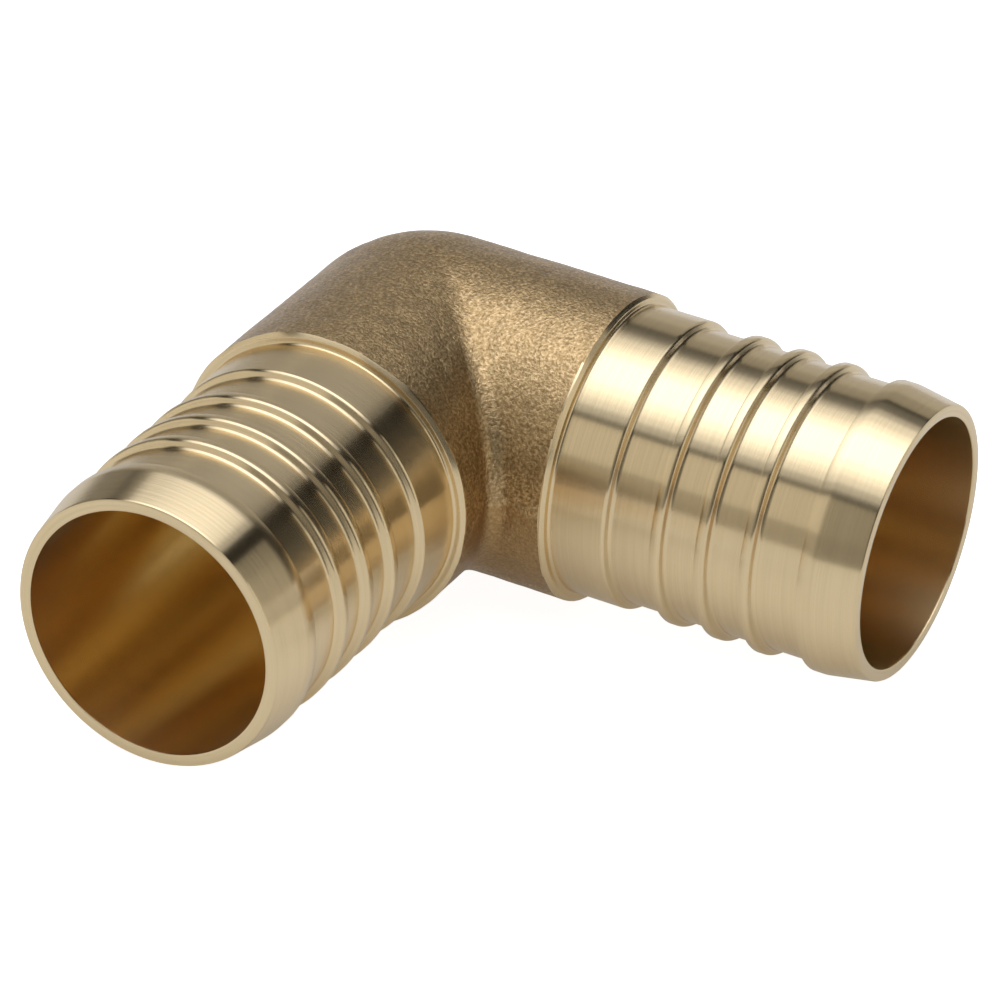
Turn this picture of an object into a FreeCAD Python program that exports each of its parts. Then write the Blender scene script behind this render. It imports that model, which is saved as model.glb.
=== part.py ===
import FreeCAD, Part
import Sketcher
import os

# A right-angle crimp elbow for plastic water pipe.
# It is one casting: a round body with a ball-shaped outer corner and a bored waterway.
# Both ends are turned to barbed spigots, which the pipe slides over before it is crimped.

NODE = "elbow"

# The arms are square to each other: one runs along +X and the other along -Y.
# This way is square to the upright plane midway between them.
ACROSS_THE_CORNER = FreeCAD.Vector(1, 1, 0)
UPRIGHT = FreeCAD.Vector(0, 0, 1)

# Two bevels that share one step leave a strip of square face between them.
MOST_OF_A_STEP = 0.45
SAME_PLACE = 1e-4

SIZES = [
    ("bore_radius", 13.6, "inside radius of the waterway"),
    ("groove_wall", 1.43, "wall left under the grooves of a spigot"),
    ("rib_height", 0.79, "how far the lands, ribs and barb stand above the grooves"),
    ("stop_height", 1.13, "how far the casting stands above the first land"),
    ("lead_in_drop", 0.86, "how far the lead-in cone falls from the barb to the open end"),
    ("stop_at", 23.0, "from the crossing of the centre lines to the pipe stop"),
    ("first_land", 6.4, "length of the smooth land next to the pipe stop"),
    ("first_gap", 5.4, "from the end of the land to the first rib"),
    ("rib_pitch", 5.1, "from one rib to the next"),
    ("rib_count", 3, "ribs on each spigot, without the end barb"),
    ("rib_width", 1.0, "length of a rib's crest along the spigot"),
    ("barb_pitch", 6.5, "from the last rib to the end barb"),
    ("barb_width", 1.4, "length of the barb's crest along the spigot"),
    ("lead_in", 5.1, "length of the lead-in cone"),
    ("stop_bevel", 0.4, "bevel on the edge of the pipe stop"),
    ("stop_foot", 0.5, "sloping foot of the pipe stop"),
    ("rib_lean", 0.6, "how far the front of a land or rib leans towards the open end"),
    ("end_break", 0.25, "chamfer on both edges of an open end"),
    ("crease_round", 0.8, "hollow round in the crease between the two arms"),
]

# Radii and distances that follow from the sizes, written for the sheet.
GROOVE_RADIUS = "sizes.bore_radius + sizes.groove_wall"
CREST_RADIUS = GROOVE_RADIUS + " + sizes.rib_height"
CAST_RADIUS = CREST_RADIUS + " + sizes.stop_height"
END_RADIUS = CREST_RADIUS + " - sizes.lead_in_drop"
LAND_END = "sizes.stop_at + sizes.first_land"
FIRST_RIB = LAND_END + " + sizes.first_gap"
LAST_RIB = FIRST_RIB + " + (sizes.rib_count - 1) * sizes.rib_pitch"
BARB = LAST_RIB + " + sizes.barb_pitch"
BARB_END = BARB + " + sizes.barb_width"
REACH = BARB_END + " + sizes.lead_in"


def make_sheet(doc):
    """Write the driving sizes into a sheet, each under its own name."""
    sheet = doc.addObject("Spreadsheet::Sheet", "sizes")
    for row, (name, value, meaning) in enumerate(SIZES, start=1):
        sheet.set("A%d" % row, name)
        sheet.set("B%d" % row, str(value))
        sheet.set("C%d" % row, meaning)
        sheet.setAlias("B%d" % row, name)
    doc.recompute()
    return sheet


def at_most(size, step):
    """A bevel is held to its share of the step that it sits on."""
    return "min(sizes.%s; %s * (%s))" % (size, MOST_OF_A_STEP, step)


def origin_part(body, role):
    """One of the body's own base planes or axes."""
    for feature in body.Origin.OriginFeatures:
        if feature.Role == role:
            return feature
    raise RuntimeError("no origin feature " + role)


def new_sketch(body, name, role):
    """An empty sketch on one of the body's base planes."""
    sketch = body.newObject("Sketcher::SketchObject", name)
    sketch.AttachmentSupport = (origin_part(body, role), [""])
    sketch.MapMode = "FlatFace"
    return sketch


def tie(sketch, kind, line, end, expression):
    """Hold one end of a line at a distance from the sketch's origin."""
    value = sketch.evalExpression(expression)
    if abs(value) > 0:
        index = sketch.addConstraint(Sketcher.Constraint(kind, -1, 1, line, end, value))
        sketch.setExpression("Constraints[%d]" % index, expression)
    else:
        axis = -2 if kind == "DistanceX" else -1
        sketch.addConstraint(Sketcher.Constraint("PointOnObject", line, end, axis))


def draw_outline(sketch, corners):
    """Draw a closed outline of level, upright and sloping lines, all tied to the sheet.

    Each corner is its distance along the arm and its distance from the arm's axis.
    """
    points = []
    for along, across in corners:
        points.append(FreeCAD.Vector(sketch.evalExpression(along), sketch.evalExpression(across), 0))
    count = len(corners)
    upright = [corners[i][0] == corners[(i + 1) % count][0] for i in range(count)]
    level = [corners[i][1] == corners[(i + 1) % count][1] for i in range(count)]
    lines = []
    for i in range(count):
        lines.append(sketch.addGeometry(Part.LineSegment(points[i], points[(i + 1) % count])))
    for i in range(count):
        sketch.addConstraint(Sketcher.Constraint("Coincident", lines[i - 1], 2, lines[i], 1))
        if upright[i]:
            sketch.addConstraint(Sketcher.Constraint("Vertical", lines[i]))
        if level[i]:
            sketch.addConstraint(Sketcher.Constraint("Horizontal", lines[i]))
        if not upright[i - 1]:
            tie(sketch, "DistanceX", lines[i], 1, corners[i][0])
        if not level[i - 1]:
            tie(sketch, "DistanceY", lines[i], 1, corners[i][1])


def arm_corners(rib_count):
    """The turned outside of one arm, from the crossing of the centre lines to the open end."""
    bevel = at_most("stop_bevel", "sizes.stop_height")
    foot = at_most("stop_foot", "sizes.stop_height")
    corners = [
        ("0", "0"),
        ("0", CAST_RADIUS),
        ("sizes.stop_at - " + bevel, CAST_RADIUS),
        ("sizes.stop_at", "%s - %s" % (CAST_RADIUS, bevel)),
        ("sizes.stop_at", "%s + %s" % (CREST_RADIUS, foot)),
        ("sizes.stop_at + " + foot, CREST_RADIUS),
        (LAND_END, CREST_RADIUS),
        (LAND_END + " + sizes.rib_lean", GROOVE_RADIUS),
    ]
    for rib in range(rib_count):
        back = "%s + %d * sizes.rib_pitch" % (FIRST_RIB, rib)
        front = back + " + sizes.rib_width"
        corners += [
            (back, GROOVE_RADIUS),
            (back, CREST_RADIUS),
            (front, CREST_RADIUS),
            (front + " + sizes.rib_lean", GROOVE_RADIUS),
        ]
    corners += [
        (BARB, GROOVE_RADIUS),
        (BARB, CREST_RADIUS),
        (BARB_END, CREST_RADIUS),
        (REACH, END_RADIUS),
        (REACH, "0"),
    ]
    return corners


def add_mirror(body, name, plane, feature):
    """Repeat a feature of the first arm on the second arm."""
    mirror = body.newObject("PartDesign::Mirrored", name)
    mirror.Originals = [feature]
    mirror.MirrorPlane = (plane, [""])
    body.Tip = mirror
    return mirror


def add_ball(body, kind, name, radius):
    """A ball about the crossing, which rounds the corner where both arms end."""
    ball = body.newObject(kind, name)
    ball.setExpression("Radius", radius)
    body.Tip = ball
    return ball


def circle_edges(shape, centres, radius):
    """Names of the full circles of one radius about any of the centres."""
    names = []
    for number, edge in enumerate(shape.Edges, start=1):
        if edge.Degenerated or edge.Curve.TypeId != "Part::GeomCircle":
            continue
        if abs(edge.Curve.Radius - radius) > SAME_PLACE:
            continue
        if min(edge.Curve.Center.distanceToPoint(centre) for centre in centres) < SAME_PLACE:
            names.append("Edge%d" % number)
    return names


def crease_edges(shape, radius):
    """Names of the curves where the two arms meet, in the upright plane between them."""
    names = []
    for number, edge in enumerate(shape.Edges, start=1):
        if edge.Degenerated:
            continue
        middle = edge.valueAt((edge.FirstParameter + edge.LastParameter) / 2)
        on_plane = abs(middle.dot(ACROSS_THE_CORNER)) < SAME_PLACE
        if on_plane and middle.x > radius / 2:
            names.append("Edge%d" % number)
    return names


def make_arms(body, sheet):
    """Turn one arm, mirror it across the corner, and round the corner and the crease."""
    outline = new_sketch(body, "arm_outline", "XY_Plane")
    draw_outline(outline, arm_corners(int(sheet.rib_count)))
    arm = body.newObject("PartDesign::Revolution", "arm")
    arm.Profile = outline
    arm.ReferenceAxis = (outline, ["H_Axis"])
    body.Tip = arm

    corner_plane = body.newObject("PartDesign::Plane", "corner_plane")
    corner_plane.AttachmentSupport = (origin_part(body, "XY_Plane"), [""])
    corner_plane.MapMode = "FlatFace"
    turn = FreeCAD.Rotation(UPRIGHT, ACROSS_THE_CORNER)
    corner_plane.AttachmentOffset = FreeCAD.Placement(FreeCAD.Vector(), turn)
    body.Document.recompute()

    add_mirror(body, "second_arm", corner_plane, arm)
    body.Document.recompute()
    ball = add_ball(body, "PartDesign::AdditiveSphere", "outer_corner", CAST_RADIUS)
    body.Document.recompute()

    crease = body.newObject("PartDesign::Fillet", "crease")
    crease.Base = (ball, crease_edges(ball.Shape, sheet.bore_radius))
    crease.setExpression("Radius", "sizes.crease_round")
    body.Tip = crease
    body.Document.recompute()
    return corner_plane


def cut_waterway(body, corner_plane):
    """Bore one arm, mirror the bore, and clear the corner between the bores with a ball."""
    outline = new_sketch(body, "bore_outline", "XY_Plane")
    draw_outline(outline, [
        ("0", "0"),
        ("0", "sizes.bore_radius"),
        (REACH, "sizes.bore_radius"),
        (REACH, "0"),
    ])
    bore = body.newObject("PartDesign::Groove", "bore")
    bore.Profile = outline
    bore.ReferenceAxis = (outline, ["H_Axis"])
    body.Tip = bore
    body.Document.recompute()
    add_mirror(body, "second_bore", corner_plane, bore)
    body.Document.recompute()
    add_ball(body, "PartDesign::SubtractiveSphere", "inner_corner", "sizes.bore_radius")
    body.Document.recompute()


def break_ends(body):
    """Chamfer the inner and outer edge of both open ends."""
    last = body.Tip
    reach = last.evalExpression(REACH)
    centres = [FreeCAD.Vector(reach, 0, 0), FreeCAD.Vector(0, -reach, 0)]
    edges = circle_edges(last.Shape, centres, last.evalExpression("sizes.bore_radius"))
    edges += circle_edges(last.Shape, centres, last.evalExpression(END_RADIUS))
    chamfer = body.newObject("PartDesign::Chamfer", "end_break")
    chamfer.Base = (last, edges)
    chamfer.setExpression("Size", "sizes.end_break")
    body.Tip = chamfer
    body.Document.recompute()


def lay_down(body):
    """Place the elbow on its side, with the middle of its outline over the origin."""
    body.setExpression("Placement.Base.x", "-(%s - (%s)) / 2" % (REACH, CAST_RADIUS))
    body.setExpression("Placement.Base.y", "(%s - (%s)) / 2" % (REACH, CAST_RADIUS))
    body.setExpression("Placement.Base.z", CAST_RADIUS)
    body.Document.recompute()


def check(doc, body):
    """Stop if any feature failed, or if the finished solid isn't sound."""
    for item in doc.Objects:
        if "Invalid" in item.State or "Error" in item.State:
            raise RuntimeError("%s failed: %s" % (item.Name, item.State))
    shape = body.Shape
    if shape.isNull() or not shape.isValid() or len(shape.Solids) != 1:
        raise RuntimeError("%s isn't one sound solid" % body.Label)


doc = FreeCAD.newDocument(NODE)
sheet = make_sheet(doc)
elbow = doc.addObject("PartDesign::Body", NODE)
elbow.Label = NODE
corner_plane = make_arms(elbow, sheet)
cut_waterway(elbow, corner_plane)
break_ends(elbow)
lay_down(elbow)
check(doc, elbow)

os.makedirs("parts", exist_ok=True)
elbow.Shape.exportStep("parts/%s.step" % elbow.Label)
box = elbow.Shape.optimalBoundingBox(False)
print("%s: %.0f mm3, x %.2f to %.2f, y %.2f to %.2f, z %.2f to %.2f" % (
    elbow.Label, elbow.Shape.Volume, box.XMin, box.XMax, box.YMin, box.YMax, box.ZMin, box.ZMax))
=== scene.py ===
"""The looks of a one-piece pex crimp elbow: a bronze casting with two turned, barbed ends."""

import math

import bmesh
import bpy
import numpy as np
from mathutils import Matrix, Vector


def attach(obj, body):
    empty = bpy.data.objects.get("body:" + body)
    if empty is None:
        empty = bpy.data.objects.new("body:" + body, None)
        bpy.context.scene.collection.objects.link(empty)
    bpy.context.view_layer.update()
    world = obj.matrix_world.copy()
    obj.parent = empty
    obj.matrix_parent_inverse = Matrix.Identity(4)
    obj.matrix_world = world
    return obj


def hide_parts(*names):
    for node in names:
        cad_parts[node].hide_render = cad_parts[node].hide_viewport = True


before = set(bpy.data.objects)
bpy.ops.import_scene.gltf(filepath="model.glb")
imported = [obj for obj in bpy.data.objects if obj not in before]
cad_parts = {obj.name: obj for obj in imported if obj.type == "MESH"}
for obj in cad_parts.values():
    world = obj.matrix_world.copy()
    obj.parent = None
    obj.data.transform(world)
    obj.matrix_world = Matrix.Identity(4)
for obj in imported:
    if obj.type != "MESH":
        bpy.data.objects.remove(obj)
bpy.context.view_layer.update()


# The turned arm.
# Each end of the casting is turned in a lathe: a shoulder, a plain land, three crimp ribs,
# a barb and a lead-in taper, all round one centre line, and then the waterway is bored.
# One arm is drawn ring by ring out to its mouth and back down the bore.

MM = 0.001
CROSSING = Vector((-20.525, 20.525, 16.95)) * MM
RING_VERTICES = 256
CAST_RADIUS = 16.95
LAND_RADIUS = 15.82
GROOVE_RADIUS = 15.03
MOUTH_RADIUS = 14.96
BORE_RADIUS = 13.6
CAST_EDGE = 22.6
CAST_EDGE_DROP = 0.4
SHOULDER = 23.0
LAND_END = 29.4
RIB_BACKS = (34.8, 39.9, 45.0)
RIB_CREST = 1.0
RIB_LEAN = 0.42
BARB_BACK = 51.5
BARB_CREST = 1.4
MOUTH = 58.0

# How far the corners of the section are rounded, in mm, and in how many steps.
SHARP = 0.08
COVE = 0.3
ROUND = 0.28
SHOULDER_COVE = 0.36
END_BREAK = 0.25
FLAT_STEPS = 2
ROUND_STEPS = 5

# How near a point is to a line or a corner that it lies on, in mm.
TOUCH = 0.01

# Each corner of the section: how far along the arm, its radius, and how far it is rounded.
section = [
    (CAST_EDGE, CAST_RADIUS, 0),
    (SHOULDER, CAST_RADIUS - CAST_EDGE_DROP, SHARP),
    (SHOULDER, LAND_RADIUS, SHOULDER_COVE),
    (LAND_END, LAND_RADIUS, ROUND),
    (LAND_END + RIB_LEAN, GROOVE_RADIUS, COVE),
]
for back in RIB_BACKS:
    section += [
        (back, GROOVE_RADIUS, SHARP),
        (back, LAND_RADIUS, SHARP),
        (back + RIB_CREST, LAND_RADIUS, ROUND),
        (back + RIB_CREST + RIB_LEAN, GROOVE_RADIUS, COVE),
    ]
section += [
    (BARB_BACK, GROOVE_RADIUS, SHARP),
    (BARB_BACK, LAND_RADIUS, SHARP),
    (BARB_BACK + BARB_CREST, LAND_RADIUS, ROUND),
    (MOUTH, MOUTH_RADIUS, END_BREAK),
    (MOUTH, BORE_RADIUS, END_BREAK),
    (0, BORE_RADIUS, 0),
]


def along_east(v):
    """How far along the east arm a point is, in mm."""
    return (v.x - CROSSING.x) / MM


def off_east_line(v):
    """How far a point is from the centre line of the east arm, in mm."""
    return math.hypot(v.y - CROSSING.y, v.z - CROSSING.z) / MM


bpy.ops.object.select_all(action="DESELECT")
bpy.ops.mesh.primitive_circle_add(
    vertices=RING_VERTICES,
    radius=CAST_RADIUS * MM,
    location=CROSSING,
    rotation=(0, math.pi / 2, 0),
)
elbow = bpy.context.active_object
elbow.name = "brass_elbow"
elbow.data.name = "brass_elbow"
bpy.ops.object.transform_apply(location=True, rotation=True, scale=True)
bpy.ops.object.mode_set(mode="EDIT")
bpy.ops.mesh.select_mode(type="EDGE")
bpy.ops.mesh.select_all(action="SELECT")
here, radius_here = 0, CAST_RADIUS
for along, radius, _ in section:
    bpy.ops.mesh.extrude_edges_move(
        TRANSFORM_OT_translate={"value": ((along - here) * MM, 0, 0)}
    )
    grow = radius / radius_here
    bpy.ops.transform.resize(
        value=(1, grow, grow),
        center_override=CROSSING + Vector((along * MM, 0, 0)),
    )
    here, radius_here = along, radius

for width in (SHARP, ROUND, COVE, SHOULDER_COVE, END_BREAK):
    corners = [(a, r) for a, r, w in section if w == width]
    bpy.ops.mesh.select_all(action="DESELECT")
    bm = bmesh.from_edit_mesh(elbow.data)
    for edge in bm.edges:
        for along, radius in corners:
            if all(
                abs(along_east(v.co) - along) < TOUCH
                and abs(off_east_line(v.co) - radius) < TOUCH
                for v in edge.verts
            ):
                edge.select_set(True)
    bmesh.update_edit_mesh(elbow.data)
    bpy.ops.mesh.bevel(
        offset=width * MM,
        segments=FLAT_STEPS if width in (SHARP, END_BREAK) else ROUND_STEPS,
        profile=0.5,
        affect="EDGES",
    )


# The corner.
# The two arms are cast as one hollow body. They meet in a mitre on the inside of the bend,
# softened by the sand mould, and a quarter of a ball closes the outside of the bend.

CREASE_WIDTH = 1.7
CREASE_STEPS = 6
CREASE_STARTS = 1.0
CREASE_FADES_OVER = 7.0
BALL_STEPS = 56
CAST_RINGS = 47
SMOOTH_BELOW = math.radians(38)

# Points farther out than this, in mm, are on the outside and not on the bore's wall.
IN_THE_WALL = BORE_RADIUS + 1

# Edges longer than this, in mm, are the plain runs of the casting.
LONG_EDGE = 3.0

# How near two points are, in metres, to be one, and how near one is to the cutting plane.
SAME_POINT = 1e-6
ON_THE_PLANE = 1e-7

bpy.ops.mesh.select_all(action="SELECT")
bpy.ops.mesh.bisect(
    plane_co=CROSSING,
    plane_no=(math.sqrt(0.5), math.sqrt(0.5), 0),
    clear_inner=True,
    threshold=ON_THE_PLANE,
)
bpy.ops.object.mode_set(mode="OBJECT")
bpy.ops.object.empty_add(location=CROSSING, rotation=(0, 0, math.pi / 4))
mitre = bpy.context.active_object
bpy.ops.object.select_all(action="DESELECT")
elbow.select_set(True)
bpy.context.view_layer.objects.active = elbow
bpy.ops.object.modifier_add(type="MIRROR")
elbow.modifiers[-1].mirror_object = mitre
elbow.modifiers[-1].merge_threshold = SAME_POINT
bpy.ops.object.modifier_apply(modifier=elbow.modifiers[-1].name)
bpy.data.objects.remove(mitre)


def on_mitre(edge):
    """Whether an edge lies in the mitre, on the outside of the casting."""
    return all(
        abs(v.co.x - CROSSING.x + v.co.y - CROSSING.y) < TOUCH * MM
        and off_east_line(v.co) > IN_THE_WALL
        for v in edge.verts
    )


bpy.ops.object.mode_set(mode="EDIT")
bm = bmesh.from_edit_mesh(elbow.data)
weights = bm.edges.layers.float.new("bevel_weight_edge")
for edge in bm.edges:
    if on_mitre(edge):
        middle = (edge.verts[0].co + edge.verts[1].co) / 2
        from_pole = (middle.x - CROSSING.x) / MM
        edge[weights] = max(0, min(1, (from_pole - CREASE_STARTS) / CREASE_FADES_OVER))
bmesh.update_edit_mesh(elbow.data)
bpy.ops.object.mode_set(mode="OBJECT")
bpy.ops.object.modifier_add(type="BEVEL")
crease = elbow.modifiers[-1]
crease.limit_method = "WEIGHT"
crease.width = CREASE_WIDTH * MM
crease.segments = CREASE_STEPS
crease.use_clamp_overlap = False
bpy.ops.object.modifier_apply(modifier=crease.name)

bpy.ops.object.mode_set(mode="EDIT")
bpy.ops.mesh.select_all(action="DESELECT")
bm = bmesh.from_edit_mesh(elbow.data)
for edge in bm.edges:
    edge.select_set(
        edge.is_boundary
        and all(abs(v.co.x - CROSSING.x) < SAME_POINT for v in edge.verts)
        and all(v.co.y > CROSSING.y - SAME_POINT for v in edge.verts)
    )
bmesh.update_edit_mesh(elbow.data)
bpy.ops.mesh.spin(
    steps=BALL_STEPS,
    angle=-math.pi / 2,
    center=CROSSING,
    axis=(0, 0, 1),
)
bpy.ops.mesh.select_all(action="SELECT")
bpy.ops.mesh.remove_doubles(threshold=SAME_POINT)
bpy.ops.mesh.normals_make_consistent(inside=False)

bpy.ops.mesh.select_all(action="DESELECT")
bm = bmesh.from_edit_mesh(elbow.data)
for edge in bm.edges:
    one, other = (v.co - CROSSING for v in edge.verts)
    run = one - other
    sideways = max(abs(run.z), min(abs(run.x), abs(run.y)))
    farthest = max(one.x, other.x, -one.y, -other.y)
    outside = all(
        max(math.hypot(p.x, p.z), math.hypot(p.y, p.z)) > IN_THE_WALL * MM
        for p in (one, other)
    )
    edge.select_set(
        outside
        and sideways < TOUCH * MM
        and run.length > LONG_EDGE * MM
        and farthest < (CAST_EDGE + TOUCH) * MM
    )
bmesh.update_edit_mesh(elbow.data)
bpy.ops.mesh.subdivide(number_cuts=CAST_RINGS)
bpy.ops.object.mode_set(mode="OBJECT")
bpy.ops.object.shade_smooth_by_angle(angle=SMOOTH_BELOW)

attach(elbow, "root")
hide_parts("elbow")


# The skin of the casting.
# The sand mould leaves the body a little uneven and grainy, dull brown bronze. The lathe
# tool has cut back whatever stood proud of the shoulder's bevel, so that edge wanders.

UNEVEN = 0.1
UNEVEN_SIZE = 5.0
LUMPS = 0.025
LUMP_SIZE = 1.1

# Points this far down from the casting's outside, in mm, still belong to its skin.
SKIN_DEPTH = 1.0


def from_crossing(mesh):
    """The mesh's points from where the centre lines cross, in mm."""
    points = np.empty(len(mesh.vertices) * 3)
    mesh.vertices.foreach_get("co", points)
    return (points.reshape(-1, 3) - np.array(CROSSING)) / MM


def reach_and_radius(points):
    """How far each point is out along its own arm, and from that arm's centre line, in mm."""
    east = points[:, 0] + points[:, 1] > 0
    reach = np.where(east, points[:, 0], -points[:, 1])
    across = np.where(east, points[:, 1], points[:, 0])
    out = np.hypot(across, points[:, 2])
    ball = reach < 0
    out[ball] = np.linalg.norm(points[ball], axis=1)
    return reach, out


points = from_crossing(elbow.data)
reach, out = reach_and_radius(points)
on_cast_skin = (out > CAST_RADIUS - SKIN_DEPTH) & (reach < CAST_EDGE + TOUCH)
skin = elbow.vertex_groups.new(name="cast_skin")
skin.add([int(i) for i in np.flatnonzero(on_cast_skin)], 1.0, "REPLACE")
for size, height in ((UNEVEN_SIZE, UNEVEN), (LUMP_SIZE, LUMPS)):
    lumps = bpy.data.textures.new("mould_lumps", type="CLOUDS")
    lumps.noise_scale = size * MM
    lumps.noise_depth = 2
    displace = elbow.modifiers.new("mould_lumps", type="DISPLACE")
    displace.texture = lumps
    displace.texture_coords = "LOCAL"
    displace.vertex_group = "cast_skin"
    displace.strength = height * 2 * MM
    displace.mid_level = 0.5
    bpy.ops.object.modifier_apply(modifier=displace.name)
    bpy.data.textures.remove(lumps)

at_edge = on_cast_skin & (reach > CAST_EDGE - TOUCH)
points = from_crossing(elbow.data)
new_reach, new_out = reach_and_radius(points)
slide = CAST_EDGE - (new_out - CAST_RADIUS) - new_reach
east = points[:, 0] + points[:, 1] > 0
points[at_edge & east, 0] += slide[at_edge & east]
points[at_edge & ~east, 1] -= slide[at_edge & ~east]
elbow.data.vertices.foreach_set("co", (points * MM + np.array(CROSSING)).ravel())
elbow.data.update()
elbow.vertex_groups.clear()

# Each face is shaded true right up to the small rounds beside it.
bpy.ops.object.modifier_add(type="WEIGHTED_NORMAL")
elbow.modifiers[-1].keep_sharp = True
bpy.ops.object.modifier_apply(modifier=elbow.modifiers[-1].name)


# The run of the tool.
# A map of each surface follows the lathe: one way runs out along the arm and over each
# edge of its section, the other way runs round it, and the fine lines of the cut lie on it.

# One unit of the map is 10 mm out along the arm, and once round it, some 100 mm.
MAP_ALONG = 10
MAP_ROUND = 100

# Faces nearer than this to the casting's edge, in mm, are cut by the tool.
EDGE_BAND = 0.25

points = from_crossing(elbow.data)
reach, out = reach_and_radius(points)
lathe_map = elbow.data.uv_layers.new(name="lathe")
corner_vertex = np.empty(len(elbow.data.loops), dtype=int)
elbow.data.loops.foreach_get("vertex_index", corner_vertex)
across = np.where(points[:, 0] + points[:, 1] > 0, points[:, 1], -points[:, 0])
turn = np.arctan2(across, points[:, 2]) / (2 * math.pi)
flat = np.empty((len(corner_vertex), 2))
flat[:, 0] = (reach - out)[corner_vertex] / MAP_ALONG
flat[:, 1] = turn[corner_vertex]
for face in elbow.data.polygons:
    loops = slice(face.loop_start, face.loop_start + face.loop_total)
    around = flat[loops, 1]
    if around.max() - around.min() > 0.5:
        flat[loops, 1] = np.where(around < 0, around + 1, around)
lathe_map.data.foreach_set("uv", flat.ravel())

CAST, TURNED, BORED = range(3)
for face in elbow.data.polygons:
    middle_out = out[list(face.vertices)].mean()
    nearest = reach[list(face.vertices)].min()
    if nearest < CAST_EDGE - EDGE_BAND and middle_out > IN_THE_WALL:
        face.material_index = CAST
    elif middle_out < BORE_RADIUS + 2 * TOUCH:
        face.material_index = BORED
    else:
        face.material_index = TURNED


def new_material(name):
    """A material with its shader, ready for nodes."""
    material = bpy.data.materials.new(name)
    material.use_nodes = True
    return material, material.node_tree, material.node_tree.nodes["Principled BSDF"]


def add_node(tree, kind, settings=None, **inputs):
    """A node with its settings and inputs, where an input may be another node's socket."""
    node = tree.nodes.new(kind)
    for name, value in (settings or {}).items():
        setattr(node, name, value)
    for name, value in inputs.items():
        socket = node.inputs[name.replace("_", " ")]
        if isinstance(value, bpy.types.NodeSocket):
            tree.links.new(value, socket)
        else:
            socket.default_value = value
    return node


# Cast bronze: brown, grainy, with dark pits and bright grains; the grains' pale colour is
# partly painted glints.
PITS = (0.30, 0.19, 0.08, 1)
SKIN = (0.485, 0.33, 0.155, 1)
GRAINS_AND_PAINTED_GLINTS = (0.80, 0.56, 0.29, 1)
SKIN_BUMP = 0.1 * MM

cast_bronze, tree, shader = new_material("cast_bronze")
place = add_node(tree, "ShaderNodeTexCoord").outputs["Object"]
grain = add_node(
    tree, "ShaderNodeTexNoise", Vector=place, Scale=2900, Detail=3, Roughness=0.65
).outputs["Fac"]
blotch = add_node(
    tree, "ShaderNodeTexNoise", Vector=place, Scale=500, Detail=4, Roughness=0.6
).outputs["Fac"]
tone = add_node(tree, "ShaderNodeValToRGB", Fac=grain)
tone.color_ramp.elements[0].position = 0.34
tone.color_ramp.elements[0].color = PITS
tone.color_ramp.elements[1].position = 0.7
tone.color_ramp.elements[1].color = GRAINS_AND_PAINTED_GLINTS
tone.color_ramp.elements.new(0.52).color = SKIN
wash = add_node(
    tree, "ShaderNodeMapRange", Value=blotch,
    From_Min=0.3, From_Max=0.7, To_Min=0.86, To_Max=1.1,
)
shade = add_node(tree, "ShaderNodeMix", {"data_type": "RGBA", "blend_type": "MULTIPLY"})
shade.inputs["Factor"].default_value = 1
tree.links.new(tone.outputs["Color"], shade.inputs[6])
tree.links.new(wash.outputs["Result"], shade.inputs[7])

# A redder patch low in the bend, where the mould filled last; its dark colour is partly painted
# shade between the arms.
PATCH_PLACE = CROSSING + Vector((19.7, -16.0, -5.5)) * MM
PATCH_RADIUS = 7 * MM
PATCH_RIM = 0.85
PATCH_WANDER = 1.5 * MM
PATCH_STRENGTH = 0.6
RED_SKIN_AND_PAINTED_SHADE = (0.40, 0.235, 0.09, 1)

warp = add_node(tree, "ShaderNodeTexNoise", Vector=place, Scale=250, Detail=2)
push = add_node(tree, "ShaderNodeVectorMath", {"operation": "SCALE"})
tree.links.new(warp.outputs["Color"], push.inputs[0])
push.inputs["Scale"].default_value = PATCH_WANDER
pushed = add_node(tree, "ShaderNodeVectorMath", {"operation": "ADD"})
tree.links.new(place, pushed.inputs[0])
tree.links.new(push.outputs["Vector"], pushed.inputs[1])
gap = add_node(tree, "ShaderNodeVectorMath", {"operation": "DISTANCE"})
tree.links.new(pushed.outputs["Vector"], gap.inputs[0])
gap.inputs[1].default_value = PATCH_PLACE
patch = add_node(
    tree, "ShaderNodeMapRange", {"interpolation_type": "SMOOTHSTEP"},
    Value=gap.outputs["Value"], To_Min=0, To_Max=PATCH_STRENGTH,
    From_Min=PATCH_RADIUS, From_Max=PATCH_RADIUS * PATCH_RIM,
)
redder = add_node(tree, "ShaderNodeMix", {"data_type": "RGBA"})
tree.links.new(patch.outputs["Result"], redder.inputs["Factor"])
tree.links.new(shade.outputs[2], redder.inputs[6])
redder.inputs[7].default_value = RED_SKIN_AND_PAINTED_SHADE
tree.links.new(redder.outputs[2], shader.inputs["Base Color"])

grainy = add_node(tree, "ShaderNodeBump", Height=grain, Strength=1.0, Distance=SKIN_BUMP)
lumpy = add_node(
    tree, "ShaderNodeBump",
    Height=blotch, Normal=grainy.outputs["Normal"], Strength=1.0, Distance=SKIN_BUMP,
)
tree.links.new(lumpy.outputs["Normal"], shader.inputs["Normal"])
shader.inputs["Metallic"].default_value = 1
shader.inputs["Roughness"].default_value = 0.34
elbow.data.materials.append(cast_bronze)


# The fine lines that the tool leaves round the arm, as heights and as streaks of tone.
lathe_lines = bpy.data.node_groups.new("lathe_lines", "ShaderNodeTree")
lathe_lines.interface.new_socket("Vector", in_out="INPUT", socket_type="NodeSocketVector")
lathe_lines.interface.new_socket("Height", in_out="OUTPUT", socket_type="NodeSocketFloat")
lathe_lines.interface.new_socket("Streak", in_out="OUTPUT", socket_type="NodeSocketFloat")
into = lathe_lines.nodes.new("NodeGroupInput")
out_of = lathe_lines.nodes.new("NodeGroupOutput")


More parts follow.
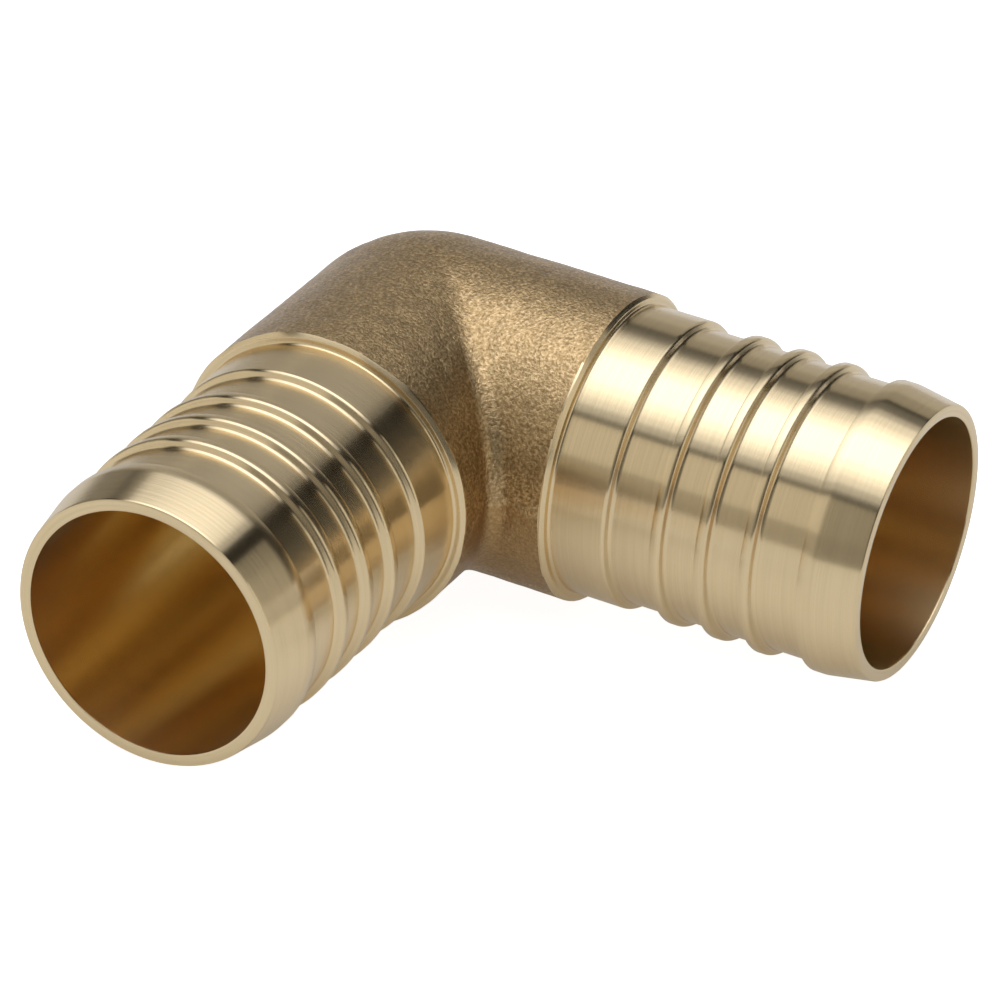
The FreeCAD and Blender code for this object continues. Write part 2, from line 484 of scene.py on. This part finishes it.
def lines_of(width, length):
    """Noise drawn out into lines round the arm: its width and length in mm of surface."""
    spread = add_node(
        lathe_lines, "ShaderNodeMapping", Vector=into.outputs["Vector"],
        Scale=(MAP_ALONG / width, MAP_ROUND / length, 1),
    )
    return add_node(
        lathe_lines, "ShaderNodeTexNoise", {"noise_dimensions": "2D"},
        Vector=spread.outputs["Vector"], Scale=1, Detail=2, Roughness=0.6,
    ).outputs["Fac"]


def blend(tree, operation, one, other):
    """Two values put together by one sum."""
    node = tree.nodes.new("ShaderNodeMath")
    node.operation = operation
    for socket, value in zip(node.inputs, (one, other)):
        if isinstance(value, bpy.types.NodeSocket):
            tree.links.new(value, socket)
        else:
            socket.default_value = value
    return node.outputs["Value"]


fine = lines_of(0.15, 30)
broad = lines_of(0.6, 50)
height = blend(lathe_lines, "ADD", blend(lathe_lines, "MULTIPLY", fine, 0.4), broad)
streak = blend(
    lathe_lines,
    "ADD",
    blend(lathe_lines, "MULTIPLY", fine, 0.6),
    blend(lathe_lines, "MULTIPLY", broad, 0.4),
)
lathe_lines.links.new(height, out_of.inputs["Height"])
lathe_lines.links.new(streak, out_of.inputs["Streak"])


def cut_finish(tree, shader, depth, dull, bright):
    """Puts the tool's lines on a surface: their depth in mm, and the tones they run between."""
    flow = add_node(tree, "ShaderNodeUVMap", {"uv_map": "lathe"}).outputs["UV"]
    lines = add_node(tree, "ShaderNodeGroup", {"node_tree": lathe_lines}, Vector=flow)
    bump = add_node(
        tree, "ShaderNodeBump",
        Height=lines.outputs["Height"], Strength=1.0, Distance=depth * MM,
    )
    tree.links.new(bump.outputs["Normal"], shader.inputs["Normal"])
    tone = add_node(tree, "ShaderNodeValToRGB", Fac=lines.outputs["Streak"])
    tone.color_ramp.elements[0].position = 0.3
    tone.color_ramp.elements[0].color = (*dull, 1)
    tone.color_ramp.elements[1].position = 0.7
    tone.color_ramp.elements[1].color = (*bright, 1)
    tree.links.new(tone.outputs["Color"], shader.inputs["Base Color"])
    tangent = add_node(
        tree, "ShaderNodeTangent", {"direction_type": "UV_MAP", "uv_map": "lathe"}
    )
    tree.links.new(tangent.outputs["Tangent"], shader.inputs["Tangent"])
    shader.inputs["Metallic"].default_value = 1


turned_brass, tree, shader = new_material("turned_brass")
cut_finish(tree, shader, 0.008, (0.75, 0.58, 0.33), (0.83, 0.65, 0.375))
shader.inputs["Roughness"].default_value = 0.22
shader.inputs["Anisotropic"].default_value = 0.9
elbow.data.materials.append(turned_brass)

# The bore is the turned brass painted paler and brighter: painted light lifting the shade
# inside the bore.
bored_brass_painted_lighter, tree, shader = new_material("bored_brass_painted_lighter")
cut_finish(tree, shader, 0.001, (0.865, 0.70, 0.405), (0.935, 0.77, 0.455))
shader.inputs["Roughness"].default_value = 0.24
shader.inputs["Anisotropic"].default_value = 0.75
elbow.data.materials.append(bored_brass_painted_lighter)


# The floor.
# A plain pale light table under the fitting, which keeps the shadows thin. It glows more
# to the camera than it does in the brass.

TABLE_SIZE = 8
TABLE_GLOW = 0.92
TABLE_GLOW_IN_BRASS = 0.24

bpy.ops.object.select_all(action="DESELECT")
bpy.ops.mesh.primitive_plane_add(size=TABLE_SIZE)
floor = bpy.context.active_object
floor.name = "floor"
board, tree, shader = new_material("pale_board")
shader.inputs["Base Color"].default_value = (0.62, 0.62, 0.62, 1)
shader.inputs["Roughness"].default_value = 0.9
shader.inputs["Emission Color"].default_value = (1, 1, 1, 1)
seen = add_node(tree, "ShaderNodeLightPath").outputs["Is Camera Ray"]
lit = add_node(
    tree, "ShaderNodeMapRange", Value=seen, To_Min=TABLE_GLOW_IN_BRASS, To_Max=TABLE_GLOW
)
tree.links.new(lit.outputs["Result"], shader.inputs["Emission Strength"])
floor.data.materials.append(board)


# The light.
# A softbox of six sheets hangs over the table, each sheet smaller and a little lower than
# the last, so it is brightest in the middle. Cards stand all round the table, the dimmest
# beside the camera, and the brass shows the dark room in the gaps between them.

DAYLIGHT = (0.96, 1.01, 1.15)
DOWN = (0, 0, -1)
EAST, WEST = (1, 0, 0), (-1, 0, 0)
NORTH, SOUTH = (0, 1, 0), (0, -1, 0)
ROOM_GLOW = 0.015
BACKDROP_GLOW = 1.0


def hang_card(name, middle, facing, wide, tall, glow, tint=(1, 1, 1)):
    """A flat glowing card that faces a given way, glow being how bright its face is."""
    bpy.ops.object.light_add(type="AREA", location=middle)
    card = bpy.context.active_object
    card.name = name
    card.rotation_euler = Vector(facing).to_track_quat("-Z", "Y").to_euler()
    card.data.shape = "RECTANGLE"
    card.data.size = wide
    card.data.size_y = tall
    card.data.energy = glow * math.pi * wide * tall
    card.data.color = tint
    card.visible_camera = False


for east, north, height, length, width, glow in (
    (-0.25, 0.19, 1.30, 2.0, 2.6, 0.16),
    (-0.30, 0.04, 1.29, 2.06, 2.04, 0.44),
    (-0.31, 0.045, 1.28, 1.78, 1.6, 0.5),
    (-0.27, 0.01, 1.27, 1.56, 1.14, 0.4),
    (-0.25, 0.01, 1.26, 1.25, 0.84, 0.4),
    (-0.25, 0.01, 1.25, 0.95, 0.52, 0.45),
):
    hang_card("softbox", (east, north, height), DOWN, length, width, glow, DAYLIGHT)
hang_card("north_west_high_card", (-1.45, 1.1, 1.31), DOWN, 0.9, 0.8, 0.2)
hang_card("north_card", (-0.61, 1.5, 0.56), SOUTH, 1.98, 1.12, 0.33)
hang_card("north_low_card", (-0.65, 1.49, 0.3), SOUTH, 1.8, 0.6, 0.14)
hang_card("north_west_card", (-1.7, 0.75, 0.5), EAST, 1.5, 1.0, 0.2)
hang_card("west_card", (-1.7, -0.6, 0.6), EAST, 1.2, 1.2, 0.7)
hang_card("south_west_card", (-0.975, -1.2, 0.67), NORTH, 1.55, 1.34, 0.43)
hang_card("south_west_high_card", (-0.975, -1.19, 0.87), NORTH, 1.55, 0.94, 0.26)
hang_card("south_card", (0.1, -1.2, 0.64), NORTH, 0.6, 1.28, 0.26)
hang_card("south_east_card", (0.85, -1.2, 0.6), NORTH, 0.9, 1.2, 0.15)
hang_card("east_card", (1.3, 0.2, 0.74), WEST, 1.6, 1.48, 0.38)
hang_card("east_low_card", (1.29, -0.05, 0.45), WEST, 0.9, 0.9, 0.4)
hang_card("north_east_low_card", (1.3, 1.35, 0.12), WEST, 0.7, 0.24, 1.25, DAYLIGHT)

world = bpy.data.worlds.new("studio")
bpy.context.scene.world = world
world.use_nodes = True
tree = world.node_tree
seen = add_node(tree, "ShaderNodeLightPath").outputs["Is Camera Ray"]
room = add_node(
    tree, "ShaderNodeMapRange", Value=seen, To_Min=ROOM_GLOW, To_Max=BACKDROP_GLOW
)
tree.links.new(room.outputs["Result"], tree.nodes["Background"].inputs["Strength"])
tree.nodes["Background"].inputs["Color"].default_value = (1, 1, 1, 1)
bpy.context.scene.cycles.glossy_bounces = 8
bpy.context.scene.view_settings.view_transform = "Standard"


# The camera.
# It looks down at the fitting as the photograph does, from close to.

CAMERA_PLACE = CROSSING + Vector((0.25317, -0.48807, 0.31978))
AZIMUTH = math.radians(26.534)
ELEVATION = math.radians(31.218)
ROLL = math.radians(3.374)

back = Vector((
    math.sin(AZIMUTH) * math.cos(ELEVATION),
    -math.cos(AZIMUTH) * math.cos(ELEVATION),
    math.sin(ELEVATION),
))
right = Vector((0, 0, 1)).cross(back).normalized()
up = back.cross(right)
right, up = (
    math.cos(ROLL) * right + math.sin(ROLL) * up,
    math.cos(ROLL) * up - math.sin(ROLL) * right,
)
camera_data = bpy.data.cameras.new("camera")
camera_data.lens = 213.7
camera_data.sensor_width = 36
camera_data.clip_end = 20
camera = bpy.data.objects.new("camera", camera_data)
bpy.context.collection.objects.link(camera)
camera.matrix_world = Matrix((
    (right.x, up.x, back.x, CAMERA_PLACE.x),
    (right.y, up.y, back.y, CAMERA_PLACE.y),
    (right.z, up.z, back.z, CAMERA_PLACE.z),
    (0, 0, 0, 1),
))
bpy.context.scene.camera = camera
